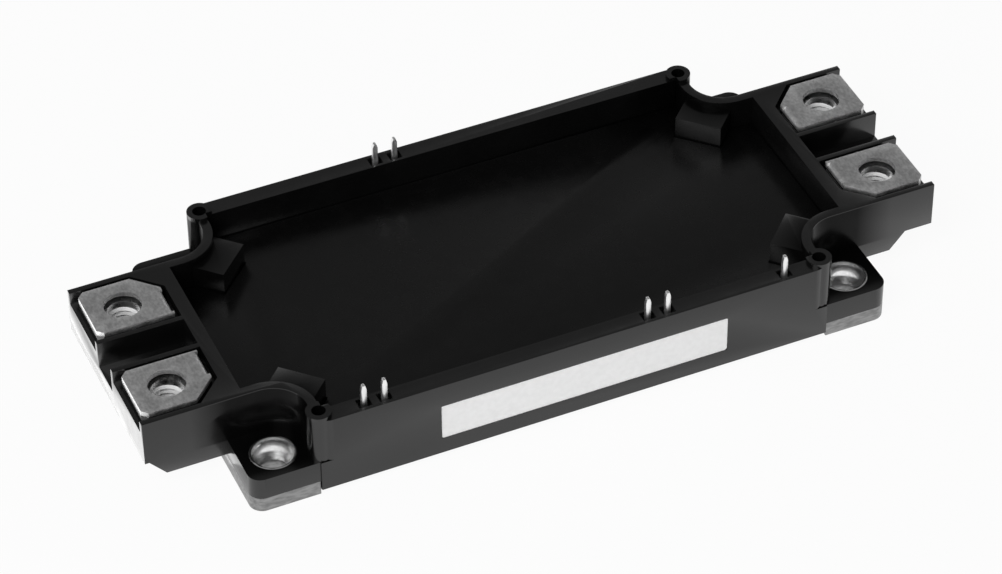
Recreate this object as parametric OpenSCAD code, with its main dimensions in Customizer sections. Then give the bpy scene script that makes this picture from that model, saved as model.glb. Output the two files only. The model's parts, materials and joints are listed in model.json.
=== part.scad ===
// Dual power transistor module: a flat base plate, a moulded frame glued round it,
// three soldered circuit substrates with their chips and bond wires under soft gel,
// a sunken lid, four screw terminals and seven control pins.
// Frame: X along the module, Y across it, Z up. The origin is the middle of the base plate's underside.

/* [Base plate] */
// Length of the base plate
plate_l = 122; // [118:1:126]
// Width of the base plate across its corner tabs
plate_w = 61.4; // [59:0.2:61.8]
// Thickness of the base plate
plate_t = 3; // [2.6:0.1:4]
// Radius of the base plate's corners
plate_corner_r = 2.5; // [1:0.5:4]
// Distance of the mounting holes from the ends of the base plate
mount_end = 6; // [5.4:0.1:6.6]
// Distance of the mounting holes from the sides of the base plate
mount_side = 5.7; // [5.2:0.1:6.2]
// Diameter of the mounting holes
mount_d = 5.5; // [4.5:0.1:6.4]

/* [Housing frame] */
// How far a terminal block reaches past the end of the base plate
block_reach = 15; // [14:0.5:20]
// How far the long walls stand past the sides of the base plate
wall_over = 0.3; // [0.1:0.1:0.6]
// Length of a corner recess along the module
recess_l = 12.5; // [12:0.1:13]
// Width of a corner recess across the module
recess_w = 11.8; // [11.4:0.1:12.2]
// Height of the frame's rim above the mounting face
rim_z = 16.7; // [16:0.1:16.8]
// Radius in the corner of the recess above each tab
recess_r = 6.4; // [5.6:0.1:6.8]
// Height of the corner tabs' upper face
tab_z = 7.4; // [6.4:0.1:8.4]
// Width of the rim along the long walls
side_rim = 3.4; // [3:0.1:3.8]
// Width of the rim round the recesses
end_rim = 1.7; // [1.3:0.1:2]
// Distance from the end of the base plate to the lid's seat
seat_end = 3.5; // [3.2:0.1:4.2]
// Width of the ledge that carries the lid
ledge = 1.3; // [0.8:0.1:1.6]
// Gap below the skirt that hides the base plate's long edges
skirt_gap = 1.1; // [0.6:0.1:1.8]
// Thickness of the skirt
skirt_t = 1.1; // [0.8:0.1:1.4]
// Clearance between the skirt and the base plate
skirt_fit = 0.1; // [0.05:0.05:0.2]
// Radius of the long walls' upright corners
wall_corner_r = 2.5; // [1:0.5:3]
// Lowest height of a terminal block beside the base plate
block_inner_z = 4.1; // [3.4:0.1:5]
// Height of a terminal block's underside at its outer end
block_outer_z = 7.6; // [6.8:0.1:8]
// Distance from the end of the DC block to where its underside starts to rise
dc_rise = 3.8; // [3.4:0.2:10]
// Distance from the end of the AC block to where its underside starts to rise
ac_rise = 8.4; // [3.4:0.2:10]
// Length of that rise
ramp_l = 3; // [2:0.2:3.2]
// Width of the slot between the two terminals of a block
slot_w = 6.8; // [6:0.1:7.4]
// Height of that slot's floor
slot_z = 11.4; // [10.8:0.1:12.6]

/* [Corner lugs] */
// Width of the lug that runs from each corner recess towards the lid's middle
lug_w = 8.8; // [6:0.2:10]
// Distance from the recess's centre to the end of the lug
lug_reach = 12.8; // [11:0.2:14]
// Height of the lugs
lug_z = 15; // [13:0.1:16]

/* [Board posts] */
// Distance of a board post from the end of the long wall
post_end = 0.9; // [0.6:0.1:1.4]
// Distance of a board post from the outside of the long wall
post_side = 2.5; // [2.3:0.1:2.8]
// Diameter of a board post
post_d = 4.6; // [4:0.1:5]
// Diameter of the screw hole in a board post
post_hole_d = 2.5; // [1.8:0.1:3]
// Depth of that screw hole
post_hole_depth = 9; // [6:0.5:10]
// Height of the board posts
post_z = 17.4; // [16.9:0.1:18.4]

/* [Lid] */
// Height of the lid's upper face
lid_z = 10.7; // [10.6:0.1:12]
// Thickness of the lid
lid_t = 1.8; // [1.4:0.1:1.8]
// Clearance between the lid and its seat
lid_gap = 0.15; // [0.1:0.05:0.3]
// Depth of the stiffening ribs below the lid
lid_rib = 1.4; // [0.8:0.1:1.6]

/* [Main terminals] */
// Distance of a terminal hole from the end of its block
term_end = 7.5; // [7:0.1:8]
// Distance of a terminal hole from the side of its block
term_side = 7.9; // [7.6:0.1:8.2]
// Height of the terminal faces
term_z = 17; // [16.9:0.1:17.4]
// Thickness of the terminal strip
term_t = 1; // [0.8:0.1:1.2]
// Length of the flat terminal face
term_l = 14.1; // [13.6:0.1:14.4]
// Width of the rim past the free end of a terminal
term_rim = 1; // [0.8:0.1:1.4]
// Width of the rim between the channel round a terminal and the side of its block
block_rim = 1.1; // [0.9:0.1:1.4]
// Width of the rim between that channel and the slot
slot_rim = 1; // [0.8:0.1:1.2]
// Leg of the large chamfer that faces the mounting hole
term_chamfer = 4.3; // [3.5:0.1:4.8]
// Leg of the small chamfers at the free end
term_nick = 1.1; // [0.6:0.1:1.6]
// Diameter of the terminal hole
term_hole_d = 6.8; // [6.5:0.1:7]
// Width of the channel round each terminal
moat_w = 0.9; // [0.6:0.1:1]
// Depth of that channel below the rim
moat_depth = 2.5; // [1.6:0.1:3]
// Inside radius of the strip's bends
bend_r = 0.3; // [0.2:0.1:0.5]
// Height of the strip where it passes through the frame
bar_z = 7.5; // [7.4:0.1:7.6]
// Width of the strip where it goes down beside the nut
leg_w = 6; // [5:0.1:6.4]

/* [Terminal nuts] */
// Width across the flats of a nut
nut_af = 10; // [9.6:0.1:10.2]
// Thickness of a nut
nut_t = 5; // [4:0.1:5.4]
// Thread diameter of a nut
nut_thread_d = 6; // [5:0.5:6]
// Bore of a nut under its thread
nut_bore_d = 5; // [4.2:0.1:5.4]
// Gap between a nut and the terminal strip
nut_drop = 0.8; // [0.4:0.1:1.2]
// Clearance between a nut and its pocket
nut_gap = 0.1; // [0.05:0.05:0.2]

/* [Mounting bushes] */
// Outside diameter of a mounting bush
bush_d = 8.4; // [8:0.1:9]
// Inside diameter of a mounting bush
bush_bore_d = 7.4; // [6.8:0.1:7.8]

/* [Control pins] */
// Distance of the pins from the outside of the long wall
pin_side = 1.8; // [1.6:0.1:2]
// Distance between the two pins of a pair
pin_pitch = 3.8; // [3:0.1:5]
// Distance from the end of the long wall to the outermost pin of the low pair
low_pin_end = 8.9; // [7:0.1:12]
// Distance from the other end of the long wall to the sense pin
sense_pin_end = 8.1; // [7:0.1:12]
// Distance of the high pair from the middle of the module
high_pin_x = 13.8; // [13:0.1:14.6]
// Distance of the thermistor pair from the middle of the module
thermistor_pin_x = 9.4; // [9:0.1:9.8]
// Height of the pin tips
pin_z = 20.8; // [20:0.2:24]
// Width of a pin along the module
pin_w = 1; // [0.8:0.05:1.3]
// Thickness of a pin across the module
pin_t = 0.8; // [0.6:0.05:0.8]
// Length of a pin's tapered tip
pin_tip = 0.9; // [0.5:0.1:1.4]
// Length of the pin's foot inside the frame
pin_foot = 2.2; // [1.6:0.1:2.6]
// Height of the foot's upper face
pin_foot_z = 5.2; // [4.8:0.1:5.2]
// Depth of the hollow that a pin comes out of
pin_hollow = 1.2; // [0.6:0.1:1.6]

/* [Substrates] */
// Gap between two ceramic tiles
tile_gap = 1.5; // [1:0.1:2]
// Gap between the outer tiles and the cavity's corners
tile_end_gap = 0.5; // [0.3:0.1:1]
// Gap between a tile and the feet of the pins
tile_side_gap = 4.1; // [3.6:0.1:4.2]
// Thickness of a ceramic tile
ceramic_t = 0.4; // [0.3:0.05:0.6]
// Thickness of the copper on both faces of a tile
copper_t = 0.3; // [0.2:0.05:0.4]
// Thickness of the solder under a tile
solder_t = 0.2; // [0.1:0.05:0.3]
// Bare edge of ceramic round the copper
ceramic_edge = 0.8; // [0.5:0.1:1]

/* [Chips] */
// Side of a transistor chip
igbt_w = 8.4; // [7:0.1:8.6]
// Side of a diode chip
diode_w = 6.8; // [5.5:0.1:7]
// Thickness of the chips
chip_t = 0.2; // [0.1:0.05:0.3]
// Thickness of the solder under a chip
chip_solder_t = 0.1; // [0.05:0.05:0.15]
// Diameter of an aluminium bond wire
wire_d = 0.4; // [0.2:0.05:0.5]
// Height of a bond wire's loop
wire_h = 1.8; // [1.4:0.1:1.9]
// Height of the loop of a wire that comes from a pin
pin_wire_h = 1.2; // [0.8:0.1:1.4]

/* [Filling] */
// Height of the soft gel's surface
gel_z = 7.2; // [7:0.1:7.3]
// Width of the glue bead under the frame
glue_w = 1; // [0.6:0.1:1.2]
// Depth of the groove that holds the glue
glue_t = 0.35; // [0.2:0.05:0.35]

/* [Label] */
// Length of the blank label
label_l = 54.8; // [30:1:60]
// Height of the blank label
label_h = 7.5; // [5:0.5:9]
// Offset of the label along the front wall
label_x = 1.3; // [-8:0.1:8]
// Height of the label's middle line
label_z = 8.2; // [7.5:0.1:9]
// Thickness of the label
label_t = 0.2; // [0.1:0.05:0.3]

/* [Hidden] */
$fn = 64;
LEFT = -1;
RIGHT = 1;
REAR = 1;
FRONT = -1;
eps = 0.01;
wire_facets = 16;
hex_sides = 6;

// Heights of the layers above the base plate
ceramic_z = plate_t + solder_t + copper_t;
circuit_z = ceramic_z + ceramic_t;
circuit_top = circuit_z + copper_t;
chip_z = circuit_top + chip_solder_t;
chip_top = chip_z + chip_t;
seat_z = lid_z - lid_t;

// Lengths and widths that follow from the base plate
overall_l = plate_l + 2 * block_reach;
frame_w = plate_w + 2 * wall_over;
wall_l = plate_l - 2 * recess_l;
block_w = plate_w - 2 * recess_w;
seat_half_l = plate_l / 2 - seat_end;
mount_x = plate_l - 2 * mount_end;
mount_y = plate_w - 2 * mount_side;
post_x = wall_l - 2 * post_end;
post_y = frame_w - 2 * post_side;

// The cavity below the lid, and the middle of the round recess above a tab
cavity_half_l = seat_half_l - ledge;
cavity_half_w = frame_w / 2 - side_rim - ledge;
recess_x = wall_l / 2 + recess_r;
recess_y = block_w / 2 + recess_r;

// Substrates: three tiles side by side between the cavity's corners
ceramic_l = (wall_l - 2 * (end_rim + ledge + tile_end_gap + tile_gap)) / 3;
ceramic_w = 2 * (cavity_half_w - pin_foot - tile_side_gap);
sub_pitch = ceramic_l + tile_gap;

// Terminals: where the face starts, its edge nearest to the middle line, and its leg and foot
term_x = overall_l - 2 * term_end;
term_y = block_w - 2 * term_side;
term_x0 = overall_l / 2 - term_rim - term_l;
term_y0 = slot_w / 2 + slot_rim + moat_w;
term_w = block_w / 2 - block_rim - moat_w - term_y0;
leg_side = 0.5;
leg_y0 = term_y0 + leg_side;
foot_inset = 2.6;
foot_x = 3 / 2 * sub_pitch - foot_inset;
foot_l = 3.2;
foot_side = 0.6;
ac_foot_w = 5.4;
bar_bite = 0.6;

// Room under a nut for the end of the screw
screw_room = 1.4;
screw_gap = 0.3;
nut_z = term_z - term_t - nut_drop - nut_t;
nut_chamfer = 0.6;

// Pins, and the small shelves just above the base plate on which their feet lie
pin_y = frame_w / 2 - pin_side;
low_pin_x = -wall_l / 2 + low_pin_end;
sense_pin_x = wall_l / 2 - sense_pin_end;
front_pins = [low_pin_x, low_pin_x + pin_pitch, high_pin_x, high_pin_x + pin_pitch, sense_pin_x];
rear_pins = [-thermistor_pin_x - pin_pitch, -thermistor_pin_x];
shelf_t = pin_foot_z - pin_t - plate_t;
shelf_side = 0.6;
shelf_root = 0.4;
hollow_side = 0.7;

// The label lies a little below the face of the wall, and the ribs of the lid end before its corners
label_sink = 0.1;
rib_end = 7;
glue_inset = 0.7;

// Circuit pattern of one substrate: each track runs from y0 to y1
track_gap = 0.6;
edge_y = ceramic_w / 2 - ceramic_edge;
edge_x = ceramic_l / 2 - ceramic_edge;
gate_track_w = 1.4;
plus_track_w = 9.2;
minus_track_w = 5.4;
gate_high_y0 = edge_y - gate_track_w;
plus_y1 = gate_high_y0 - track_gap;
plus_y0 = plus_y1 - plus_track_w;
sense_y1 = -edge_y + gate_track_w;
gate_low_y0 = sense_y1 + track_gap;
gate_low_y1 = gate_low_y0 + gate_track_w;
minus_y0 = gate_low_y1 + track_gap;
minus_y1 = minus_y0 + minus_track_w;
phase_y0 = minus_y1 + track_gap;
phase_y1 = plus_y0 - track_gap;
riser_w = 1.2;
pad_w = 1.7;
pad_room = 3;
pad_y0 = edge_y - pad_w;
thermistor_w = 0.8;
thermistor_h = 1;
thermistor_over = 0.3;

// Chip places on each substrate
chip_gap = 1.9;
igbt_x = -igbt_w / 2;
diode_x = igbt_x + igbt_w / 2 + chip_gap + diode_w / 2;
high_y = (plus_y0 + plus_y1) / 2;
low_y = phase_y0 + igbt_w / 2 + track_gap;

// Wire ends
igbt_wires = [-igbt_w / 3, 0, igbt_w / 3];
diode_wires = [-diode_w / 4, diode_w / 4];
wire_run = igbt_w * 2 / 3;
wire_start = igbt_w / 5;
wire_stub = 0.2;
gate_pad = 1;
link_side = 1.5;
link_x = edge_x - 1;
quarter_turn = 90;

// Four mirrored copies, one in each corner
module in_corners() {
  for (sx = [LEFT, RIGHT], sy = [FRONT, REAR])
    mirror([sx < 0 ? 1 : 0, 0, 0]) mirror([0, sy < 0 ? 1 : 0, 0]) children();
}

// A rectangle with rounded corners
module rounded_rect(l, w, r) {
  difference() {
    square([l, w], center = true);
    in_corners() translate([l / 2 - r, w / 2 - r]) difference() {
      square(r + 1);
      circle(r);
    }
  }
}

// The notch above a mounting tab: it opens outwards, and its inner corner is round
module corner_notch(r) {
  translate([recess_x, recess_y]) difference() {
    translate([-r, -r]) square(overall_l);
    difference() {
      translate([-r, -r]) square(r);
      circle(r);
    }
  }
}

// The frame's outline seen from above, moved in by side on the long walls and by end elsewhere.
// The long walls' upright corners are rounded by corner.
module frame_outline(half_l, side = 0, end = 0, corner = 0) {
  difference() {
    square([2 * half_l, frame_w - 2 * side], center = true);
    in_corners() corner_notch(recess_r + end);
    if (corner > 0) in_corners() translate([wall_l / 2 - corner, frame_w / 2 - corner]) difference() {
      square(corner + 1);
      circle(corner);
    }
  }
}

// The terminal face with its large chamfer and its two small ones, grown by g
module terminal_outline(g = 0, reach = 0) {
  x0 = term_x0 - g;
  x1 = term_x0 + term_l + reach;
  y0 = term_y0 - g;
  y1 = term_y0 + term_w + g;
  c = term_chamfer + g * (2 - sqrt(2));
  n = reach > 0 ? 0 : term_nick;
  polygon([[x0, y0], [x1 - n, y0], [x1, y0 + n], [x1, y1 - n], [x1 - n, y1], [x0 + c, y1], [x0, y1 - c]]);
}

// A quarter turn of strip, w wide along Y, from pointing up (+Z side) to pointing left (-X side)
module bend(w) {
  rotate([90, 0, 0]) translate([0, 0, -w]) rotate([0, 0, 90]) rotate_extrude(angle = 90)
    translate([bend_r, 0]) square([term_t, w]);
}

// --- Base plate and frame ---------------------------------------------------------------------

module base_plate() {
  color("silver") difference() {
    linear_extrude(plate_t) difference() {
      rounded_rect(plate_l, plate_w, plate_corner_r);
      for (sy = [FRONT, REAR]) translate([0, sy * frame_w / 2])
        square([wall_l + 2 * skirt_fit, 2 * (skirt_t + skirt_fit)], center = true);
    }
    in_corners() translate([mount_x / 2, mount_y / 2, -1]) cylinder(d = mount_d, h = plate_t + 2);
  }
}

module mounting_bushes() {
  color("gainsboro") in_corners() translate([mount_x / 2, mount_y / 2, plate_t]) difference() {
    cylinder(d = bush_d, h = tab_z - plate_t);
    translate([0, 0, -1]) cylinder(d = bush_bore_d, h = tab_z - plate_t + 2);
  }
}

// One terminal block, as a section that runs the block's whole width
module terminal_block(ramp_x) {
  rotate([90, 0, 0]) linear_extrude(block_w, center = true) polygon([
    [seat_half_l + 1, block_inner_z], [ramp_x, block_inner_z], [ramp_x + ramp_l, block_outer_z],
    [overall_l / 2, block_outer_z], [overall_l / 2, rim_z], [seat_half_l + 1, rim_z]
  ]);
}

module frame_body() {
  translate([0, 0, plate_t]) linear_extrude(rim_z - plate_t)
    frame_outline(plate_l / 2, 0, 0, wall_corner_r);
  translate([0, 0, plate_t]) linear_extrude(tab_z - plate_t)
    rounded_rect(plate_l, plate_w, plate_corner_r);
  for (sy = [FRONT, REAR]) translate([-wall_l / 2, sy * (frame_w - skirt_t) / 2 - skirt_t / 2, skirt_gap])
    cube([wall_l, skirt_t, tab_z - skirt_gap]);
  terminal_block(overall_l / 2 - ac_rise);
  mirror([1, 0, 0]) terminal_block(overall_l / 2 - dc_rise);
  in_corners() translate([post_x / 2, post_y / 2, plate_t]) cylinder(d = post_d, h = post_z - plate_t);
}

// The lugs' outline: each runs inwards along the diagonal from its recess's centre, grown by g
module lug_outline(g = 0) {
  in_corners() translate([recess_x, recess_y]) rotate([0, 0, 225]) translate([0, -lug_w / 2 - g])
    square([lug_reach + g, lug_w + 2 * g]);
}

// Everything that one terminal takes out of a block: its channel, its nut pocket and the screw's room
module terminal_room() {
  moat_z = rim_z - moat_depth;
  translate([0, 0, moat_z]) linear_extrude(term_z) difference() {
    terminal_outline(moat_w, overall_l / 2 - term_x0 - term_l + 1);
    terminal_outline();
  }
  translate([0, 0, term_z - term_t]) linear_extrude(term_t + 1) terminal_outline();
  translate([term_x / 2, term_y / 2, nut_z]) rotate([0, 0, 90])
    cylinder(d = (nut_af + 2 * nut_gap) / cos(180 / hex_sides), h = term_z, $fn = hex_sides);
  translate([term_x / 2, term_y / 2, nut_z - screw_room])
    cylinder(d = nut_thread_d + 2 * screw_gap, h = term_z);
}

// A block of the label's length and height, depth thick, whose outer face lies sink inside the wall
module label_block(sink, depth) {
  translate([label_x, -frame_w / 2 + sink + depth / 2, label_z])
    cube([label_l, depth, label_h], center = true);
}

module pin_shelf(x, sy) {
  y0 = cavity_half_w - pin_foot;
  translate([x - pin_w / 2 - shelf_side, sy > 0 ? y0 : -cavity_half_w - shelf_root, plate_t])
    cube([pin_w + 2 * shelf_side, pin_foot + shelf_root, shelf_t]);
}

module housing_frame() {
  color([0.1, 0.1, 0.11]) {
    difference() {
      frame_body();
      translate([0, 0, lug_z]) linear_extrude(term_z) frame_outline(seat_half_l, side_rim, end_rim);
      translate([0, 0, seat_z]) linear_extrude(term_z) difference() {
        frame_outline(seat_half_l, side_rim, end_rim);
        lug_outline();
      }
      translate([0, 0, plate_t - 1]) linear_extrude(seat_z - plate_t + 1) cavity_outline();
      in_corners() terminal_room();
      for (sx = [LEFT, RIGHT]) mirror([sx < 0 ? 1 : 0, 0, 0])
        translate([term_x0 - moat_w, -slot_w / 2, slot_z]) cube([overall_l, slot_w, term_z]);
      in_corners() translate([mount_x / 2, mount_y / 2, plate_t - 1]) cylinder(d = bush_d, h = tab_z);
      in_corners() translate([post_x / 2, post_y / 2, post_z - post_hole_depth])
        cylinder(d = post_hole_d, h = post_hole_depth + 1);
      all_pins() pin_room();
      label_block(0, label_sink + label_t);
      glue_ring();
      all_terminals();
    }
    difference() {
      all_pins() pin_shelf($pin_x, $pin_side);
      all_pins() pin($pin_x, $pin_side);
    }
  }
}

module cavity_outline() {
  frame_outline(cavity_half_l, side_rim + ledge, end_rim + ledge);
}

// The glue lies in a groove under the frame, all round the cavity
module glue_ring() {
  inner = ledge - glue_inset;
  translate([0, 0, plate_t]) linear_extrude(glue_t) difference() {
    frame_outline(seat_half_l - inner + glue_w, side_rim + inner - glue_w, end_rim + inner - glue_w);
    frame_outline(seat_half_l - inner, side_rim + inner, end_rim + inner);
  }
}

module case_glue() {
  color("dimgray") glue_ring();
}

module lid() {
  color([0.09, 0.09, 0.1]) {
    translate([0, 0, seat_z]) linear_extrude(lid_t) difference() {
      frame_outline(seat_half_l - lid_gap, side_rim + lid_gap, end_rim + lid_gap);
      lug_outline(lid_gap);
    }
    for (sy = [FRONT, REAR]) translate([0, sy * cavity_half_w / 2, seat_z - lid_rib / 2 + eps])
      cube([wall_l - 2 * rib_end, lid_t, lid_rib], center = true);
  }
}

module front_label() {
  color("white") label_block(label_sink, label_t);
}

// --- Terminals, nuts and pins -----------------------------------------------------------------

// A bent strip for the right-hand end: face, leg, bar through the wall, and soldered foot.
// side says whether its face is at the rear or the front; the foot runs from foot_y0 to foot_y1.
module terminal_strip(side, foot_y0, foot_y1) {
  leg_low = side > 0 ? leg_y0 : -leg_y0 - leg_w;
  bar_low = min(leg_low, foot_y0);
  bar_high = max(leg_low + leg_w, foot_y1);
  foot_w = foot_y1 - foot_y0;
  wall_x = cavity_half_l + bar_bite;
  face_z = term_z - term_t;
  difference() {
    mirror([0, side < 0 ? 1 : 0, 0]) translate([0, 0, face_z]) linear_extrude(term_t) difference() {
      terminal_outline();
      translate([term_x0 - 1, leg_y0]) square([1 + bend_r + term_t, leg_w]);
    }
    translate([term_x / 2, side * term_y / 2, term_z - 2 * term_t]) cylinder(d = term_hole_d, h = 3 * term_t);
  }
  translate([term_x0 + bend_r + term_t, leg_low, face_z - bend_r]) bend(leg_w);
  translate([term_x0, leg_low, bar_z + term_t + bend_r])
    cube([term_t, leg_w, face_z - bar_z - term_t - 2 * bend_r]);
  translate([term_x0 - bend_r, leg_low + leg_w, bar_z + term_t + bend_r]) rotate([0, 0, 180])
    mirror([0, 0, 1]) bend(leg_w);
  translate([wall_x, bar_low, bar_z]) cube([term_x0 - bend_r - wall_x, bar_high - bar_low, term_t]);
  translate([foot_x + term_t + bend_r, foot_y0, bar_z])
    cube([wall_x - foot_x - term_t - bend_r, foot_w, term_t]);
  translate([foot_x + term_t + bend_r, foot_y0, bar_z - bend_r]) bend(foot_w);
  translate([foot_x, foot_y0, circuit_top + term_t + bend_r])
    cube([term_t, foot_w, bar_z - circuit_top - term_t - 2 * bend_r]);
  translate([foot_x - bend_r, foot_y1, circuit_top + term_t + bend_r]) rotate([0, 0, 180])
    mirror([0, 0, 1]) bend(foot_w);
  translate([foot_x - bend_r - foot_l, foot_y0, circuit_top]) cube([foot_l, foot_w, term_t]);
}

module terminal_dc_plus() {
  color("silver") mirror([1, 0, 0]) terminal_strip(REAR, plus_y0 + foot_side, plus_y1 - foot_side);
}

module terminal_dc_minus() {
  color("silver") mirror([1, 0, 0]) terminal_strip(FRONT, minus_y0 + foot_side / 2, minus_y1 - foot_side / 2);
}

module terminal_ac_rear() {
  color("silver") terminal_strip(REAR, phase_y1 - foot_side - ac_foot_w, phase_y1 - foot_side);
}

module terminal_ac_front() {
  foot_y0 = phase_y0 + 2 * foot_side;
  color("silver") terminal_strip(FRONT, foot_y0, foot_y0 + ac_foot_w);
}

module all_terminals() {
  terminal_dc_plus();
  terminal_dc_minus();
  terminal_ac_rear();
  terminal_ac_front();
}

module terminal_nuts() {
  corner_d = nut_af / cos(180 / hex_sides);
  color("lightgray") in_corners() translate([term_x / 2, term_y / 2, nut_z]) difference() {
    intersection() {
      rotate([0, 0, 90]) cylinder(d = corner_d, h = nut_t, $fn = hex_sides);
      rotate_extrude() polygon([
        [0, 0], [corner_d / 2 - nut_chamfer, 0], [corner_d / 2 + eps, nut_chamfer],
        [corner_d / 2 + eps, nut_t - nut_chamfer], [corner_d / 2 - nut_chamfer, nut_t], [0, nut_t]
      ]);
    }
    translate([0, 0, -1]) cylinder(d = nut_bore_d, h = nut_t + 2);
    translate([0, 0, nut_t - (nut_thread_d - nut_bore_d) / 2])
      cylinder(d1 = nut_bore_d, d2 = nut_thread_d + 1, h = (nut_thread_d - nut_bore_d) / 2 + 0.5);
  }
}

// Places its children once for each pin, with the pin's place and side in $pin_x and $pin_side
module all_pins() {
  for ($pin_x = front_pins) {
    $pin_side = FRONT;
    children();
  }
  for ($pin_x = rear_pins) {
    $pin_side = REAR;
    children();
  }
}

// An L-shaped pin: its blade stands in the wall and its foot reaches into the cavity
module pin(x, side) {
  foot_y = pin_y - (cavity_half_w - pin_foot);
  translate([x, side * pin_y, 0]) {
    rotate([90, 0, 0]) linear_extrude(pin_t, center = true) polygon([
      [-pin_w / 2, pin_foot_z - pin_t], [pin_w / 2, pin_foot_z - pin_t], [pin_w / 2, pin_z - pin_tip],
      [pin_w / 4, pin_z], [-pin_w / 4, pin_z], [-pin_w / 2, pin_z - pin_tip]
    ]);
    translate([-pin_w / 2, side > 0 ? -foot_y : 0, pin_foot_z - pin_t]) cube([pin_w, foot_y, pin_t]);
  }
}

// What a pin takes out of the frame: itself, and a small hollow where it comes out
module pin_room() {
  pin($pin_x, $pin_side);
  translate([$pin_x, $pin_side * pin_y, rim_z])
    cube([pin_w + 2 * hollow_side, pin_t + 2 * hollow_side, 2 * pin_hollow], center = true);
}

module control_pin(x, side) {
  color("gainsboro") pin(x, side);
}

// --- Substrates and chips ---------------------------------------------------------------------

module base_solder(i) {
  color("gray") translate([i * sub_pitch, 0, plate_t + solder_t / 2])
    cube([2 * edge_x, 2 * edge_y, solder_t], center = true);
}

module back_copper(i) {
  color("peru") translate([i * sub_pitch, 0, plate_t + solder_t + copper_t / 2])
    cube([2 * edge_x, 2 * edge_y, copper_t], center = true);
}

module ceramic(i) {
  color("ivory") translate([i * sub_pitch, 0, ceramic_z + ceramic_t / 2])
    cube([ceramic_l, ceramic_w, ceramic_t], center = true);
}

module track(x0, x1, y0, y1) {
  translate([x0, y0, circuit_z]) cube([x1 - x0, y1 - y0, copper_t]);
}

// The middle substrate also has a track that takes the high gate from front to rear, and the sensor pads
module circuit(i) {
  x1 = i == 0 ? edge_x - riser_w - track_gap : edge_x;
  gate_x0 = i == 0 ? -edge_x + 2 * pad_w + pad_room : -edge_x;
  color("peru") translate([i * sub_pitch, 0, 0]) {
    track(-edge_x, x1, plus_y0, plus_y1);
    track(-edge_x, x1, phase_y0, phase_y1);
    track(-edge_x, x1, minus_y0, minus_y1);
    track(-edge_x, x1, gate_low_y0, gate_low_y1);
    track(-edge_x, x1, -edge_y, sense_y1);
    track(gate_x0, edge_x, gate_high_y0, edge_y);
    if (i == 0) {
      track(edge_x - riser_w, edge_x, -edge_y, gate_high_y0 + eps);
      for (x = rear_pins) track(max(x - pad_w / 2, -edge_x), x + pad_w / 2, pad_y0, edge_y);
    }
  }
}

module chip(i, x, y, w, z, t) {
  translate([i * sub_pitch + x, y, z + t / 2]) cube([w, w, t], center = true);
}

module chip_solder(i) {
  color("gray") {
    chip(i, igbt_x, high_y, igbt_w, circuit_top, chip_solder_t);
    chip(i, diode_x, high_y, diode_w, circuit_top, chip_solder_t);
    chip(i, igbt_x, low_y, igbt_w, circuit_top, chip_solder_t);
    chip(i, diode_x, low_y, diode_w, circuit_top, chip_solder_t);
  }
}

module igbt(i, y) {
  color("slategray") chip(i, igbt_x, y, igbt_w, chip_z, chip_t);
}

module diode(i, y) {
  color("lightslategray") chip(i, diode_x, y, diode_w, chip_z, chip_t);
}

module thermistor() {
  x0 = rear_pins[0] - thermistor_over;
  x1 = rear_pins[1] + thermistor_over;
  color("saddlebrown") translate([x0, pad_y0, circuit_top]) cube([x1 - x0, thermistor_w, thermistor_h]);
}

// --- Bond wires -------------------------------------------------------------------------------

// A wire from [x, y] at height z0, run long in the direction a, that lands at height z1
module bond_wire(x, y, z0, a, run, z1, h = wire_h) {
  r = min(h, run / 2);
  top = max(z0, z1) + wire_stub;
  translate([x, y, 0]) rotate([0, 0, a]) {
    translate([0, 0, z0]) cylinder(d = wire_d, h = top - z0, $fn = wire_facets);
    translate([r, 0, top]) rotate([90, 0, 0]) rotate([0, 0, 90]) wire_quarter(r);
    translate([run - r, 0, top]) rotate([90, 0, 0]) wire_quarter(r);
    if (run > 2 * r) translate([r, 0, top + r]) rotate([0, 90, 0])
      cylinder(d = wire_d, h = run - 2 * r, $fn = wire_facets);
    translate([run, 0, z1]) cylinder(d = wire_d, h = top - z1, $fn = wire_facets);
  }
}

module wire_quarter(r) {
  rotate_extrude(angle = quarter_turn, $fn = 2 * wire_facets) translate([r, 0])
    circle(d = wire_d, $fn = wire_facets);
}

// A wire from the top of a chip in the row at y to the next track in front
module emitter_wire(x, y) {
  bond_wire(x, y - wire_start, chip_top, -quarter_turn, wire_run, circuit_top);
}

module emitter_wires(i) {
  color("lightgray") for (y = [high_y, low_y]) {
    for (dx = igbt_wires) emitter_wire(i * sub_pitch + igbt_x + dx, y);
    for (dx = diode_wires) emitter_wire(i * sub_pitch + diode_x + dx, y);
  }
}

module gate_wires() {
  high_start = high_y + igbt_w / 2 - gate_pad;
  low_start = low_y - igbt_w / 2 + gate_pad;
  high_run = gate_high_y0 + gate_track_w / 2 - high_start;
  low_run = low_start - (gate_low_y0 + gate_low_y1) / 2;
  gate_x = igbt_x + igbt_w / 6;
  color("lightgray") for (i = [-1, 0, 1]) {
    bond_wire(i * sub_pitch + gate_x, high_start, chip_top, quarter_turn, high_run, circuit_top);
    bond_wire(i * sub_pitch + gate_x, low_start, chip_top, -quarter_turn, low_run, circuit_top);
  }
}

// A wire at y from x to a track that lies run further along the module
module link_wire(x, y, run) {
  bond_wire(x, y, circuit_top, 0, run, circuit_top);
}

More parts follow.
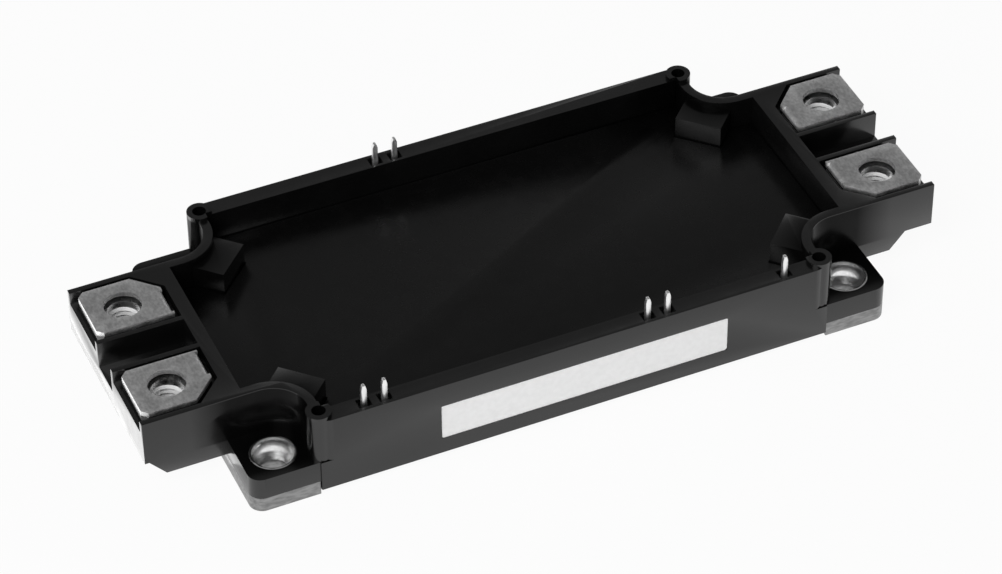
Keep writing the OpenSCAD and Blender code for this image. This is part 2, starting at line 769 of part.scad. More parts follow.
// Wires that join the tracks of neighbouring substrates
module link_wires() {
  gate_high_y = gate_high_y0 + gate_track_w / 2;
  gate_low_y = (gate_low_y0 + gate_low_y1) / 2;
  sense_y = sense_y1 - gate_track_w / 2;
  short_run = sub_pitch - 2 * link_x;
  color("lightgray") {
    for (i = [-1, 0]) {
      x = i * sub_pitch + (i == 0 ? link_x - riser_w - track_gap : link_x);
      run = (i + 1) * sub_pitch - link_x - x;
      for (y = [plus_y0 + link_side, high_y, plus_y1 - link_side]) link_wire(x, y, run);
      for (y = [phase_y0 + link_side, (phase_y0 + phase_y1) / 2, phase_y1 - link_side]) link_wire(x, y, run);
      for (y = [minus_y0 + link_side, minus_y1 - link_side, gate_low_y, sense_y]) link_wire(x, y, run);
    }
    link_wire(link_x - sub_pitch, gate_high_y, short_run + 2 * pad_w + pad_room);
    link_wire(link_x, gate_high_y, short_run);
  }
}

module pin_wire(x, side, y_end) {
  y0 = side * (cavity_half_w - pin_foot / 2);
  bond_wire(x, y0, pin_foot_z, -side * quarter_turn, abs(y_end - y0), circuit_top, pin_wire_h);
}

module control_wires() {
  color("lightgray") {
    pin_wire(front_pins[0], FRONT, (gate_low_y0 + gate_low_y1) / 2);
    pin_wire(front_pins[1], FRONT, sense_y1 - gate_track_w / 2);
    pin_wire(edge_x - wire_d / 2, FRONT, -edge_y + wire_d / 2);
    pin_wire(front_pins[3], FRONT, phase_y0 + foot_side);
    pin_wire(front_pins[4], FRONT, phase_y0 + foot_side);
    pin_wire(rear_pins[0], REAR, edge_y - wire_d);
    pin_wire(rear_pins[1], REAR, edge_y - wire_d);
  }
}

// --- Gel --------------------------------------------------------------------------------------

// The gel fills the cavity up to its surface and closes round all that stands in it
module silicone_gel() {
  color([0.8, 0.85, 0.9, 0.5]) difference() {
    translate([0, 0, plate_t]) linear_extrude(gel_z - plate_t) cavity_outline();
    for (i = [-1, 0, 1]) {
      base_solder(i);
      back_copper(i);
      ceramic(i);
      circuit(i);
      chip_solder(i);
      igbt(i, high_y);
      igbt(i, low_y);
      diode(i, high_y);
      diode(i, low_y);
      emitter_wires(i);
    }
    thermistor();
    gate_wires();
    link_wires();
    control_wires();
    all_terminals();
    all_pins() {
      pin($pin_x, $pin_side);
      pin_shelf($pin_x, $pin_side);
    }
  }
}

base_plate();
mounting_bushes();
housing_frame();
case_glue();
lid();
front_label();
terminal_dc_plus();
terminal_dc_minus();
terminal_ac_rear();
terminal_ac_front();
terminal_nuts();
control_pin(front_pins[0], FRONT);  // pin_gate_low
control_pin(front_pins[1], FRONT);  // pin_emitter_low
control_pin(front_pins[2], FRONT);  // pin_gate_high
control_pin(front_pins[3], FRONT);  // pin_emitter_high
control_pin(front_pins[4], FRONT);  // pin_phase_sense
control_pin(rear_pins[0], REAR);  // pin_thermistor_a
control_pin(rear_pins[1], REAR);  // pin_thermistor_b
base_solder(-1);  // base_solder_left
base_solder(0);  // base_solder_middle
base_solder(1);  // base_solder_right
back_copper(-1);  // back_copper_left
back_copper(0);  // back_copper_middle
back_copper(1);  // back_copper_right
ceramic(-1);  // ceramic_left
ceramic(0);  // ceramic_middle
ceramic(1);  // ceramic_right
circuit(-1);  // circuit_left
circuit(0);  // circuit_middle
circuit(1);  // circuit_right
chip_solder(-1);  // chip_solder_left
chip_solder(0);  // chip_solder_middle
chip_solder(1);  // chip_solder_right
igbt(-1, high_y);  // igbt_high_left
igbt(0, high_y);  // igbt_high_middle
igbt(1, high_y);  // igbt_high_right
igbt(-1, low_y);  // igbt_low_left
igbt(0, low_y);  // igbt_low_middle
igbt(1, low_y);  // igbt_low_right
diode(-1, high_y);  // diode_high_left
diode(0, high_y);  // diode_high_middle
diode(1, high_y);  // diode_high_right
diode(-1, low_y);  // diode_low_left
diode(0, low_y);  // diode_low_middle
diode(1, low_y);  // diode_low_right
thermistor();
emitter_wires(-1);  // emitter_wires_left
emitter_wires(0);  // emitter_wires_middle
emitter_wires(1);  // emitter_wires_right
gate_wires();
link_wires();
control_wires();
silicone_gel();
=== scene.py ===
# %% [markdown]
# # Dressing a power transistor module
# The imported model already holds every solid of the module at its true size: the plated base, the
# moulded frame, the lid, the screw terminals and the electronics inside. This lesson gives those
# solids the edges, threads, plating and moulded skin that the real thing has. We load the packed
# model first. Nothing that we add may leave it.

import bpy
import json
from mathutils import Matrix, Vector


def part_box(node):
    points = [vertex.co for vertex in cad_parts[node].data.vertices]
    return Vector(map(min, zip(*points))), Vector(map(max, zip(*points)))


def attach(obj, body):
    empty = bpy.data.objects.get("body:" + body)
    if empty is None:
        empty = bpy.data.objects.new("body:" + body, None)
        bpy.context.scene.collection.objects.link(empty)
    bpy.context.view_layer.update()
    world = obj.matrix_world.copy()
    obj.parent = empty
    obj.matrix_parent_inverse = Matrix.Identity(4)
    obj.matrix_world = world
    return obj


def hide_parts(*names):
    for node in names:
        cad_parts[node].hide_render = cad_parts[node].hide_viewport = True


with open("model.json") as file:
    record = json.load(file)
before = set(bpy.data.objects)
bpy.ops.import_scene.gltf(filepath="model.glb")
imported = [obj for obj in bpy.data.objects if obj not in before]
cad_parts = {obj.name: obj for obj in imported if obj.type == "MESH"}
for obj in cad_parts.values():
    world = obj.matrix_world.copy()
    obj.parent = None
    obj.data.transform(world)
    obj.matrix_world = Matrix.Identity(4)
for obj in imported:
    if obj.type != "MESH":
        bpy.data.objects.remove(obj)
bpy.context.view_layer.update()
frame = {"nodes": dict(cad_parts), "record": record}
print("solids loaded:", len(frame["nodes"]))

# %% [markdown]
# Blender works in metres and this object is spoken of in millimetres, so one named value turns
# one into the other. We import the few modules that we use in the same cell.

# %% Units and modules
import json
from math import cos, hypot, pi, radians, sin

import bmesh
import bpy
from mathutils import Matrix, Vector

MM = 0.001
scene = bpy.context.scene
nodes = frame["nodes"]


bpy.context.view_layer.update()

# %% [markdown]
# ## The camera
# A product picture is taken from far away with a long lens, so that parallel edges stay nearly
# parallel. The camera looks down at about 42 degrees from the front left corner. We build its
# three axes from the turn, the height and a slight roll, and put it where they say.

# %% Camera
TURN = radians(-23.557)
HEIGHT = radians(41.657)
ROLL = radians(0.619)
DISTANCE = 723.713 * MM
AIM_OFFSET = (1.149 * MM, -3.541 * MM)
LENS = 143.976
SENSOR = 36
NEAREST = 10 * MM

back = Vector((sin(TURN) * cos(HEIGHT), -cos(TURN) * cos(HEIGHT), sin(HEIGHT)))
level = Vector((cos(TURN), sin(TURN), 0))
upward = back.cross(level)
right = cos(ROLL) * level - sin(ROLL) * upward
up = sin(ROLL) * level + cos(ROLL) * upward
place = DISTANCE * back - AIM_OFFSET[0] * right - AIM_OFFSET[1] * up

camera_data = bpy.data.cameras.new("product_camera")
camera_data.lens = LENS
camera_data.sensor_width = SENSOR
camera_data.sensor_fit = "HORIZONTAL"
camera_data.clip_start = NEAREST
camera = bpy.data.objects.new("product_camera", camera_data)
scene.collection.objects.link(camera)
camera.matrix_world = Matrix(
    (
        (right.x, up.x, back.x, place.x),
        (right.y, up.y, back.y, place.y),
        (right.z, up.z, back.z, place.z),
        (0, 0, 0, 1),
    )
)
scene.camera = camera
scene.view_settings.view_transform = "Standard"
print("camera stands at", [round(v, 3) for v in place])

# %% [markdown]
# ## Selecting by place
# Every step below works as by hand: an object is made active, something on it is selected, and
# an operator changes it. With no window to click in, edges and faces are picked by where they
# are and which way they face. An operator acts on all that is selected, so each helper starts
# from nothing selected.


# %% Helpers for selecting
def only(piece):
    """Makes piece the one selected and active object."""
    bpy.ops.object.select_all(action="DESELECT")
    piece.select_set(True)
    bpy.context.view_layer.objects.active = piece


def edit(piece, mode="EDGE"):
    """Opens piece in edit mode with nothing selected, and gives its editable mesh."""
    only(piece)
    bpy.ops.object.mode_set(mode="EDIT")
    bpy.ops.mesh.select_mode(type=mode)
    bpy.ops.mesh.select_all(action="DESELECT")
    return bmesh.from_edit_mesh(piece.data)


def close_edit(piece):
    """Leaves edit mode."""
    bmesh.update_edit_mesh(piece.data)
    bpy.ops.object.mode_set(mode="OBJECT")


def middle_of(edge):
    """The middle of an edge, in millimetres."""
    return (edge.verts[0].co + edge.verts[1].co) / (2 * MM)


print("helpers ready")

# %% [markdown]
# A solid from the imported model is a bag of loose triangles. Before its edges can be rounded, a
# copy of it is merged, and the triangles that lie in one plane are dissolved into one face. The
# copy then stands for the solid, which stays in the file for the physics.


# %% Helper: a merged copy of a solid
WELD = 0.002 * MM
FLAT = radians(0.6)


def merged_copy(node, name):
    """A copy of a solid whose loose triangles are joined into whole flat faces."""
    mesh = nodes[node].data.copy()
    mesh.name = name
    piece = bpy.data.objects.new(name, mesh)
    scene.collection.objects.link(piece)
    only(piece)
    bpy.ops.mesh.customdata_custom_splitnormals_clear()
    edit(piece)
    bpy.ops.mesh.select_all(action="SELECT")
    bpy.ops.mesh.remove_doubles(threshold=WELD)
    bpy.ops.mesh.dissolve_limited(angle_limit=FLAT)
    close_edit(piece)
    return piece


def stand_for(piece, node, smooth=40):
    """Says that piece replaces a solid and rides on the module; smooths its shading and hides the solid.
    """
    only(piece)
    bpy.ops.object.shade_smooth_by_angle(angle=radians(smooth))
    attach(piece, "root")
    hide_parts(node)


print("copy helpers ready")

# %% [markdown]
# No moulded or stamped part has a knife edge. A small round on each outer edge catches the light
# as a thin bright line, and that line is most of what tells the eye that a thing is real. The
# helper picks the outer edges sharper than a given angle, where a test on their place agrees,
# and bevels them together.


# %% Helper: rounding outer edges
def round_edges(piece, radius, where=lambda edge: True, segments=2, sharper=30, shortest=0.5):
    """Rounds the convex edges of piece for which where(edge) holds; radius is in mm."""
    shape = edit(piece)
    count = 0
    for edge in shape.edges:
        if len(edge.link_faces) != 2 or edge.calc_length() < shortest * MM:
            continue
        if edge.calc_face_angle_signed() > radians(sharper) and where(edge):
            edge.select_set(True)
            count += 1
    if count:
        bpy.ops.mesh.bevel(
            offset=radius * MM,
            segments=segments,
            profile=0.5,
            affect="EDGES",
            clamp_overlap=True,
            miter_outer="ARC",
        )
    close_edit(piece)
    print("  rounded", count, "edges of", piece.name)


print("rounding helper ready")

# %% [markdown]
# ## Finishes
# Each finish is a small node tree on Object coordinates, so a pattern stays fixed in the part
# whatever the view. The plain numbers that are the same all over a surface are typed into the
# shader's own sockets; only colour, roughness and bump are driven by noise.


# %% Helper: starting a finish
finishes = {}


def finish_tree(name, metallic=0.0, specular=0.5):
    """A new material with one Principled shader; gives the material, its nodes and its links."""
    material = bpy.data.materials.new(name + "_finish")
    material.use_nodes = True
    finishes[name] = material
    tree = material.node_tree
    shader = tree.nodes["Principled BSDF"]
    shader.inputs["Metallic"].default_value = metallic
    shader.inputs["Specular IOR Level"].default_value = specular
    return material, tree, shader


def noise(tree, scale, detail=3, stretch=(1, 1, 1)):
    """Noise on Object coordinates; scale counts its lumps per metre."""
    place_node = tree.nodes.new("ShaderNodeTexCoord")
    mapping = tree.nodes.new("ShaderNodeMapping")
    mapping.inputs["Scale"].default_value = stretch
    texture = tree.nodes.new("ShaderNodeTexNoise")
    texture.inputs["Scale"].default_value = scale
    texture.inputs["Detail"].default_value = detail
    tree.links.new(place_node.outputs["Object"], mapping.inputs["Vector"])
    tree.links.new(mapping.outputs["Vector"], texture.inputs["Vector"])
    return texture.outputs["Fac"]


def ramp(tree, value, dark, light, start=0.35, end=0.65):
    """A two-colour ramp over value, between two colours or two greys."""
    node = tree.nodes.new("ShaderNodeValToRGB")
    first, last = node.color_ramp.elements
    first.position = start
    last.position = end
    first.color = (*dark, 1) if isinstance(dark, tuple) else (dark, dark, dark, 1)
    last.color = (*light, 1) if isinstance(light, tuple) else (light, light, light, 1)
    tree.links.new(value, node.inputs["Fac"])
    return node.outputs["Color"]


def bumps(tree, shader, value, height, strength=1.0):
    """Bumps of the given height in mm on the shader."""
    node = tree.nodes.new("ShaderNodeBump")
    node.inputs["Strength"].default_value = strength
    node.inputs["Distance"].default_value = height * MM
    tree.links.new(value, node.inputs["Height"])
    tree.links.new(node.outputs["Normal"], shader.inputs["Normal"])


print("finish helpers ready")

# %% [markdown]
# The frame is a black glass-filled plastic, moulded in a spark-eroded tool, so its skin is a
# fine even grain about a quarter of a millimetre across, a little duller in some places than in
# others. The lid is the same family of plastic from a smoother tool, and deeper black.

# %% Moulded plastics
CLOUDS = 60
GLOSS_PATCHES = 350
GRAIN_STRENGTH = 0.6
FRAME_SHINE = 0.66


def moulded_plastic(name, dark, light, specular, dull, shiny, grain, depth):
    """A dark moulded plastic: cloudy colour, uneven gloss and a fine tool grain."""
    material, tree, shader = finish_tree(name, specular=specular)
    clouds = noise(tree, CLOUDS, detail=4)
    tree.links.new(ramp(tree, clouds, dark, light), shader.inputs["Base Color"])
    patches = noise(tree, GLOSS_PATCHES, detail=5)
    tree.links.new(ramp(tree, patches, shiny, dull), shader.inputs["Roughness"])
    bumps(tree, shader, noise(tree, grain, detail=4), depth, GRAIN_STRENGTH)
    return material


frame_plastic = moulded_plastic(
    "frame_plastic", dark=0.0015, light=0.003, specular=FRAME_SHINE,
    dull=0.24, shiny=0.17, grain=4200, depth=0.003,
)
lid_plastic = moulded_plastic(
    "lid_plastic", dark=0.001, light=0.002, specular=0.42,
    dull=0.3, shiny=0.22, grain=5200, depth=0.003,
)
print("made", frame_plastic.name, "and", lid_plastic.name)

# %% [markdown]
# Shade is painted into the corner recesses and the lugs behind them: the shine of the frame's skin is
# lowered there so that these hollows render dark, as if in shade. So the shine depends on place: it
# falls smoothly towards the middle of a recess, but only above the tab, below the rim and inside the
# outer face of the long walls. First come three small helpers that turn a place into a share.


# %% Helpers: a share that depends on place
def between(tree, value, start, end):
    """A share that rises from 0 where value is start to 1 where it is end."""
    node = tree.nodes.new("ShaderNodeMapRange")
    node.inputs["From Min"].default_value = start
    node.inputs["From Max"].default_value = end
    tree.links.new(value, node.inputs["Value"])
    return node.outputs["Result"]


def on_vector(tree, operation, vector, other=(0, 0, 0)):
    """One vector operation on a socket and a constant; gives its node."""
    node = tree.nodes.new("ShaderNodeVectorMath")
    node.operation = operation
    node.inputs[1].default_value = other
    tree.links.new(vector, node.inputs[0])
    return node


def product(tree, first, second):
    """The product of two sockets."""
    node = tree.nodes.new("ShaderNodeMath")
    node.operation = "MULTIPLY"
    tree.links.new(first, node.inputs[0])
    tree.links.new(second, node.inputs[1])
    return node.outputs["Value"]


print("place helpers ready")

# %% [markdown]
# The module is the same in all four corners, so the place is mirrored into one corner first, by
# taking each coordinate without its sign. Three more shares, one for each limit, are multiplied
# with the one for the distance.

# %% Painted shade: duller walls in the corner recesses
RECESS_PLACE = (54.9 * MM, 25.3 * MM, 0)
RECESS_SHADE_NEAR = 8.5 * MM
RECESS_SHADE_FAR = 14 * MM
RECESS_SHADE_SHINE = 0.12
BELOW_OUTER_FACE = ("Y", 30.5 * MM, 28.5 * MM)
ABOVE_TAB = ("Z", 7.2 * MM, 7.4 * MM)
BELOW_RIM = ("Z", 16.65 * MM, 16.5 * MM)

frame_tree = frame_plastic.node_tree
frame_place = frame_tree.nodes.new("ShaderNodeTexCoord").outputs["Object"]
mirrored = on_vector(frame_tree, "ABSOLUTE", frame_place).outputs["Vector"]
axes = frame_tree.nodes.new("ShaderNodeSeparateXYZ")
frame_tree.links.new(mirrored, axes.inputs["Vector"])
offset = on_vector(frame_tree, "SUBTRACT", mirrored, RECESS_PLACE).outputs["Vector"]
level_offset = on_vector(frame_tree, "MULTIPLY", offset, (1, 1, 0)).outputs["Vector"]
across = on_vector(frame_tree, "LENGTH", level_offset).outputs["Value"]

# Painted shade: the frame's specular level falls towards each recess's middle, so the hollows render dark
# as if in shade.
recess_painted_shade = between(frame_tree, across, RECESS_SHADE_FAR, RECESS_SHADE_NEAR)
for axis, start, end in (BELOW_OUTER_FACE, ABOVE_TAB, BELOW_RIM):
    recess_painted_shade = product(frame_tree, recess_painted_shade, between(frame_tree, axes.outputs[axis], start, end))

# The painted shade share sets the specular level, from the frame's own shine down to the shaded shine.
shaded_shine = frame_tree.nodes.new("ShaderNodeMapRange")
shaded_shine.inputs["To Min"].default_value = FRAME_SHINE
shaded_shine.inputs["To Max"].default_value = RECESS_SHADE_SHINE
frame_tree.links.new(recess_painted_shade, shaded_shine.inputs["Value"])
frame_shader = frame_tree.nodes["Principled BSDF"]
frame_tree.links.new(shaded_shine.outputs["Result"], frame_shader.inputs["Specular IOR Level"])
print("duller within", round(RECESS_SHADE_NEAR / MM, 1), "mm of each recess's middle")

# %% [markdown]
# Nickel plating is a metal with a grey just short of white. It shows the fine rolling lines of
# the sheet under it as soft streaks, and tiny pits as specks. The terminals, the base and the
# sleeves share the recipe with other tones, roughnesses and directions of streak.

# %% Plated metals
METAL_PATCHES = 500
SHINIER = 0.06
DULLER = 0.07
PIT_STRENGTH = 0.5


def plated_metal(name, dark, light, rough, streaks=(1, 1, 1), grain=1800, depth=0.004):
    """A plated metal: streaked tone, uneven gloss and a fine pitted grain."""
    material, tree, shader = finish_tree(name, metallic=1.0)
    lines = noise(tree, grain, detail=5, stretch=streaks)
    tree.links.new(ramp(tree, lines, dark, light), shader.inputs["Base Color"])
    patches = noise(tree, METAL_PATCHES, detail=4)
    gloss = ramp(tree, patches, rough - SHINIER, rough + DULLER)
    tree.links.new(gloss, shader.inputs["Roughness"])
    bumps(tree, shader, noise(tree, grain * 2, stretch=streaks), depth, PIT_STRENGTH)


plated_metal("nickel_plate", 0.2, 0.32, rough=0.4, streaks=(0.3, 1, 1))
plated_metal("terminal_metal", 0.5, 0.68, rough=0.5, streaks=(1, 0.6, 1), grain=2200, depth=0.005)
plated_metal("bush_metal", 0.8, 0.9, rough=0.2)
plated_metal("nut_steel", 0.5, 0.66, rough=0.3, streaks=(1, 1, 4), grain=1500)
plated_metal("pin_metal", 0.86, 0.96, rough=0.4, streaks=(1, 1, 0.2), grain=2500, depth=0.002)
print("made five plated metals")

# %% [markdown]
# The label place is a bare matt film, off white, with the faint fibre of its backing. The glue,
# solder, copper, ceramic, silicon, bond wire and thermistor are seen only when the module is
# opened, but each gets its own finish too.

# %% Film and inner finishes
FILM_SWING = 0.05
FILM_TOOTH = 0.4


def plain_film(name, dark, light, rough, grain, depth, specular=0.4):
    """A matt layer: a faint change of tone and a slight tooth."""
    material, tree, shader = finish_tree(name, specular=specular)
    tones = ramp(tree, noise(tree, grain, detail=4), dark, light)
    tree.links.new(tones, shader.inputs["Base Color"])
    gloss = ramp(tree, noise(tree, grain / 3), rough - FILM_SWING, rough + FILM_SWING)
    tree.links.new(gloss, shader.inputs["Roughness"])
    bumps(tree, shader, noise(tree, grain * 2, detail=2), depth, FILM_TOOTH)


plain_film("label_film", 0.92, 0.97, rough=0.5, grain=900, depth=0.003)
plain_film("glue", 0.04, 0.07, rough=0.35, grain=700, depth=0.02)
plain_film("ceramic", (0.72, 0.71, 0.68), (0.82, 0.81, 0.78), rough=0.5, grain=1500, depth=0.002)
plain_film("silicon", (0.12, 0.13, 0.15), (0.18, 0.19, 0.22), rough=0.2, grain=1200, depth=0.0005)
plain_film("thermistor_body", (0.05, 0.04, 0.035), (0.08, 0.07, 0.06), rough=0.45, grain=3000, depth=0.004)
plated_metal("solder", 0.5, 0.6, rough=0.38, grain=900)
plated_metal("copper", (0.68, 0.32, 0.2), (0.8, 0.42, 0.28), rough=0.32, streaks=(1, 0.4, 1))
plated_metal("bond_wire", 0.7, 0.82, rough=0.3, grain=4000)
print("made the label's and the inner finishes")

# %% [markdown]
# The gel that fills the module is as clear as water and a little cloudy, with a slightly uneven
# skin where it has set.

# %% Gel
GEL_CLOUDS = 120
gel, gel_tree, gel_shader = finish_tree("gel", specular=0.4)
gel_shader.inputs["Transmission Weight"].default_value = 0.9
gel_shader.inputs["IOR"].default_value = 1.41
gel_clouds = noise(gel_tree, GEL_CLOUDS, detail=2)
gel_tone = ramp(gel_tree, gel_clouds, (0.86, 0.9, 0.92), (0.93, 0.95, 0.96))
gel_tree.links.new(gel_tone, gel_shader.inputs["Base Color"])
gel_tree.links.new(ramp(gel_tree, gel_clouds, 0.04, 0.1), gel_shader.inputs["Roughness"])
bumps(gel_tree, gel_shader, gel_clouds, 0.05, 0.3)
print("made", gel.name)

# %% [markdown]
# ## Which solid takes which finish
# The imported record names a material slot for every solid. The slots and our finishes carry the
# same names, so one loop dresses all the solids, and later a copy that stands for one of them
# brings its finish along.

# %% Dress every solid
slot_of = {part["node"]: part["material_slot"] for part in frame["record"]["subparts"]}
for node_name, solid in nodes.items():
    solid.data.materials.clear()
    solid.data.materials.append(finishes[slot_of[node_name]])
print("solids dressed:", len(nodes))

# %% [markdown]
# ## The base plate
# It is pressed from sheet copper and then plated. The punch leaves a small round on every edge,
# seen as a bright line along the foot of the module and round the four holes.

# %% Base plate
PLATE_ROUND = 0.25
base = merged_copy("base_plate", "base_plate_pressed")
round_edges(base, PLATE_ROUND, shortest=0.05)
stand_for(base, "base_plate")

# %% [markdown]
# ## The moulded frame
# The frame is the piece that one sees first. Its rims, the edges of the terminal blocks and the
# upright corners are rounded by the tool. The smallest notches inside are left sharp, because a
# round there would be finer than the grain of the plastic.

# %% Housing frame
PLATE_TOP = 3.2
FRAME_ROUND = 0.3


def outer_edge(edge):
    """Whether an edge of the frame is above the base plate, where it can be seen."""
    return middle_of(edge).z > PLATE_TOP


housing = merged_copy("housing_frame", "housing_frame_moulded")
round_edges(housing, FRAME_ROUND, outer_edge, shortest=0.8)
stand_for(housing, "housing_frame")

# %% [markdown]
# ## The lid
# The lid is a shallow moulded cover, dropped into the frame. Its outline gets the same small
# round as the frame.

# %% Lid
LID_ROUND = 0.2
cover = merged_copy("lid", "lid_moulded")
round_edges(cover, LID_ROUND, shortest=0.4)
stand_for(cover, "lid")

# %% [markdown]
# ## The screw terminals
# Each terminal is stamped from plated copper sheet, its corners cut, and folded over the block.
# The stamping rounds the edges of the sheet and of its hole.

# %% Terminals
SHEET_ROUND = 0.07
for terminal in ("terminal_dc_plus", "terminal_dc_minus", "terminal_ac_rear", "terminal_ac_front"):
    strip = merged_copy(terminal, terminal + "_stamped")
    round_edges(strip, SHEET_ROUND, shortest=0.02)
    stand_for(strip, terminal)

# %% [markdown]
# ## The nuts and their threads
# Under each terminal a steel nut waits in its pocket for an M6 screw, and its thread can be seen
# through the terminal's hole. The thread is one long ridge wound round the bore. We draw the
# ridge's section once as a small diamond, let a Screw modifier wind it up, close its two ends,
# and set a copy into each nut after opening the nut's bore to the root of the thread.

# %% Winding one thread
NUT_BORE = 2.5 * MM
THREAD_ROOT = 2.95 * MM
THREAD_PITCH = 1 * MM
RIDGE_DEEP = 0.45 * MM
RIDGE_HIGH = 0.46 * MM
RIDGE_SIDES = 4
TURN_STEPS = 32
nut_low, nut_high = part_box("terminal_nuts")
turns = round((nut_high.z - nut_low.z - 2 * RIDGE_HIGH) / THREAD_PITCH) - 1

bpy.ops.object.select_all(action="DESELECT")
bpy.ops.mesh.primitive_circle_add(
    vertices=RIDGE_SIDES, radius=1, location=(THREAD_ROOT, 0, 0), rotation=(pi / 2, 0, 0)
)
thread = bpy.context.object
thread.name = "thread_master"
bpy.ops.transform.resize(value=(RIDGE_DEEP, 1, RIDGE_HIGH))
bpy.ops.object.transform_apply(location=True, rotation=True, scale=True)
winding = thread.modifiers.new("winding", "SCREW")
winding.axis = "Z"
winding.screw_offset = THREAD_PITCH
winding.iterations = turns
winding.steps = TURN_STEPS
winding.render_steps = TURN_STEPS
winding.use_merge_vertices = True
winding.merge_threshold = WELD
bpy.ops.object.modifier_apply(modifier="winding")
edit(thread)
bpy.ops.mesh.select_all(action="SELECT")
bpy.ops.mesh.fill_holes(sides=RIDGE_SIDES)
bpy.ops.mesh.normals_make_consistent(inside=False)
close_edit(thread)
print("thread turns:", turns, "faces:", len(thread.data.polygons))

# %% [markdown]
# The bore of each nut is opened from the tips of the thread to its root, by scaling the points
# near the nut's axis about that axis. Then each nut gets its own copy of the wound ridge.

# %% Setting the thread into each nut
NUT_X = 68.5 * MM
NUT_Y = 11 * MM
NUT_ROUND = 0.1
NUT_FLAT = 4 * MM
NEAR_BORE = 1.02 * NUT_BORE
WIDEN = THREAD_ROOT / NUT_BORE
nut_places = [(x, y) for x in (-NUT_X, NUT_X) for y in (-NUT_Y, NUT_Y)]
nuts = merged_copy("terminal_nuts", "terminal_nuts_threaded")
for x, y in nut_places:
    shape = edit(nuts, "VERT")
    for vertex in shape.verts:
        if hypot(vertex.co.x - x, vertex.co.y - y) < NEAR_BORE:
            vertex.select_set(True)
    shape.select_flush(True)
    bpy.ops.transform.resize(value=(WIDEN, WIDEN, 1), center_override=(x, y, 0))
    close_edit(nuts)
round_edges(nuts, NUT_ROUND, lambda edge: edge.calc_length() > NUT_FLAT, shortest=2)

coils = []
for x, y in nut_places:
    coil = thread.copy()
    coil.data = thread.data.copy()
    scene.collection.objects.link(coil)
    edit(coil)
    bpy.ops.mesh.select_all(action="SELECT")
    bpy.ops.transform.translate(value=(x, y, nut_low.z + 2 * RIDGE_HIGH))
    close_edit(coil)
    coils.append(coil)
only(nuts)
for coil in coils:
    coil.select_set(True)
bpy.ops.object.join()
bpy.data.objects.remove(thread)
stand_for(nuts, "terminal_nuts", smooth=35)

# %% [markdown]
# ## Sleeves, pins and label
# The bright sleeves in the fixing holes have rolled ends, the control pins have blunted tips, and
# the label place is a thin film whose corners are cut round so that it does not lift.

# %% Sleeves and pins
SLEEVE_ROUND = 0.14
PIN_ROUND = 0.12
sleeves = merged_copy("mounting_bushes", "mounting_bushes_rolled")
round_edges(sleeves, SLEEVE_ROUND, shortest=0.02)
stand_for(sleeves, "mounting_bushes")

for pin_name in sorted(name for name in nodes if name.startswith("pin_")):
    contact = merged_copy(pin_name, pin_name + "_blunted")
    round_edges(contact, PIN_ROUND, shortest=0.1)
    stand_for(contact, pin_name)

# %% Label film
LABEL_CORNER = 0.5


def across_film(edge):
    """Whether an edge runs through the thickness of the film."""
    run = edge.verts[1].co - edge.verts[0].co
    return abs(run.y) > 0.9 * run.length


film = merged_copy("front_label", "front_label_film")
round_edges(film, LABEL_CORNER, across_film, segments=5, shortest=0.05)
stand_for(film, "front_label")

# %% [markdown]
# ## The floor and the light
# The module stands on a plain white floor under a large soft lamp. Seen by the camera, or in a
# mirror or a clear thing, the floor glows evenly white with only a breath of shadow on it; to
# the light that falls on the module it is plain white paper.

# %% Floor
FLOOR_SIZE = 6
FLOOR_DROP = 0.2 * MM
FLOOR_WHITE = 0.8
SHADOW_LEFT = 0.06
bpy.ops.object.select_all(action="DESELECT")
bpy.ops.mesh.primitive_plane_add(size=FLOOR_SIZE, location=(0, 0, -FLOOR_DROP))
floor = bpy.context.object
floor.name = "studio_floor"

paper = bpy.data.materials.new("floor_paper")
paper.use_nodes = True
paper_tree = paper.node_tree
links = paper_tree.links
paper_shader = paper_tree.nodes["Principled BSDF"]
paper_shader.inputs["Base Color"].default_value = (FLOOR_WHITE, FLOOR_WHITE, FLOOR_WHITE, 1)
paper_shader.inputs["Roughness"].default_value = 0.9
glow = paper_tree.nodes.new("ShaderNodeEmission")
glow.inputs["Strength"].default_value = 1.0

path = paper_tree.nodes.new("ShaderNodeLightPath")
seen = path.outputs["Is Camera Ray"]
for ray in ("Is Glossy Ray", "Is Transmission Ray"):
    either = paper_tree.nodes.new("ShaderNodeMath")
    either.operation = "MAXIMUM"
    links.new(seen, either.inputs[0])
    links.new(path.outputs[ray], either.inputs[1])
    seen = either.outputs["Value"]
share = paper_tree.nodes.new("ShaderNodeMath")
share.operation = "MULTIPLY"
share.inputs[1].default_value = 1 - SHADOW_LEFT
links.new(seen, share.inputs[0])

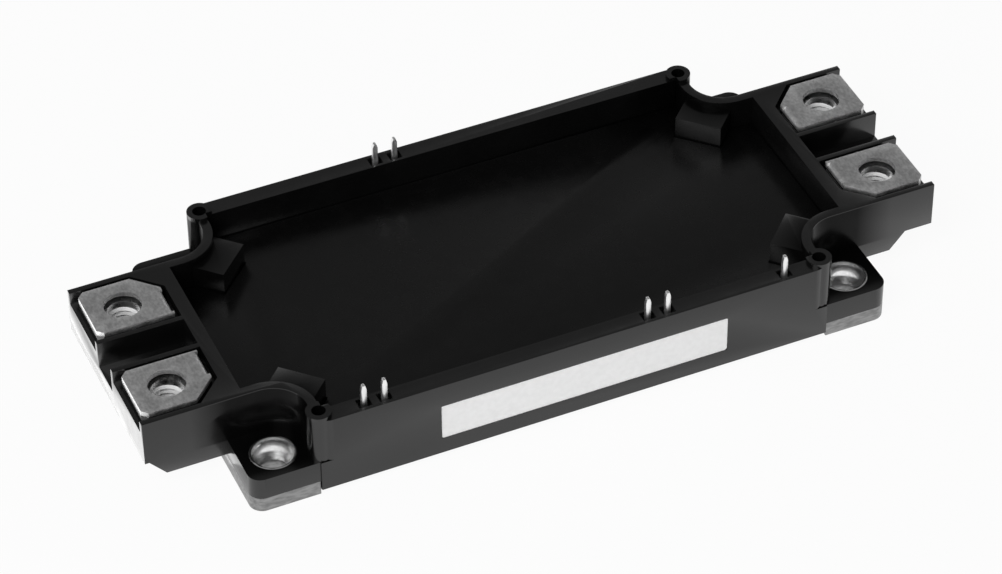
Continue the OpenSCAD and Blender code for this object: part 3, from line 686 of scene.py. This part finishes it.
mix = paper_tree.nodes.new("ShaderNodeMixShader")
links.new(share.outputs["Value"], mix.inputs["Fac"])
links.new(paper_shader.outputs["BSDF"], mix.inputs[1])
links.new(glow.outputs["Emission"], mix.inputs[2])
links.new(mix.outputs["Shader"], paper_tree.nodes["Material Output"].inputs["Surface"])
floor.data.materials.append(paper)
print("floor laid, with", round(100 * SHADOW_LEFT), "percent of its shadow left")

# %% [markdown]
# The room is brightest near the horizon and dim overhead, as in a studio with white walls and a
# dark ceiling, so the tops stay black while the walls pick up the pale floor. The ramp runs over
# how far a direction points up.

# %% Room light
HORIZON = 1.0
HORIZON_ENDS = 0.1
OVERHEAD = 0.2
OVERHEAD_STARTS = 0.4
room = bpy.data.worlds.new("studio_room")
scene.world = room
room.use_nodes = True
room_tree = room.node_tree
direction = room_tree.nodes.new("ShaderNodeTexCoord")
split = room_tree.nodes.new("ShaderNodeSeparateXYZ")
room_tree.links.new(direction.outputs["Generated"], split.inputs["Vector"])
sky = ramp(room_tree, split.outputs["Z"], HORIZON, OVERHEAD, HORIZON_ENDS, OVERHEAD_STARTS)
room_tree.links.new(sky, room_tree.nodes["Background"].inputs["Color"])
print("room lit")

# %% [markdown]
# The key lamp stands high on the front left. A small dim lamp lies on the floor beside the left
# end of the module and faces up, like a white card: it turns the low end faces nearly white.

# %% Soft lamps
KEY_SIDES = (1.0, 1.0)
KEY_POWER = 18
KEY_PLACE = (-0.9, -0.7, 1.1)
CARD_SIDES = (84 * MM, 64 * MM)
CARD_POWER = 0.026
CARD_PLACE = (-104 * MM, 13.5 * MM, 1 * MM)


def soft_lamp(name, sides, power, where, towards):
    """A soft lamp with two sides at a place, aimed at another place, all in metres."""
    data = bpy.data.lights.new(name, "AREA")
    data.shape = "RECTANGLE"
    data.size, data.size_y = sides
    data.energy = power
    lamp = bpy.data.objects.new(name, data)
    scene.collection.objects.link(lamp)
    lamp.location = where
    aim = Vector(towards) - Vector(where)
    lamp.rotation_euler = aim.to_track_quat("-Z", "Y").to_euler()
    lamp.visible_camera = False
    return lamp


soft_lamp("key_lamp", KEY_SIDES, KEY_POWER, KEY_PLACE, towards=(0, 0, 0))
card = soft_lamp("low_left_card", CARD_SIDES, CARD_POWER, CARD_PLACE, towards=(0, 0, 0))
card.rotation_euler = (pi, 0, 0)
print("lamps set")
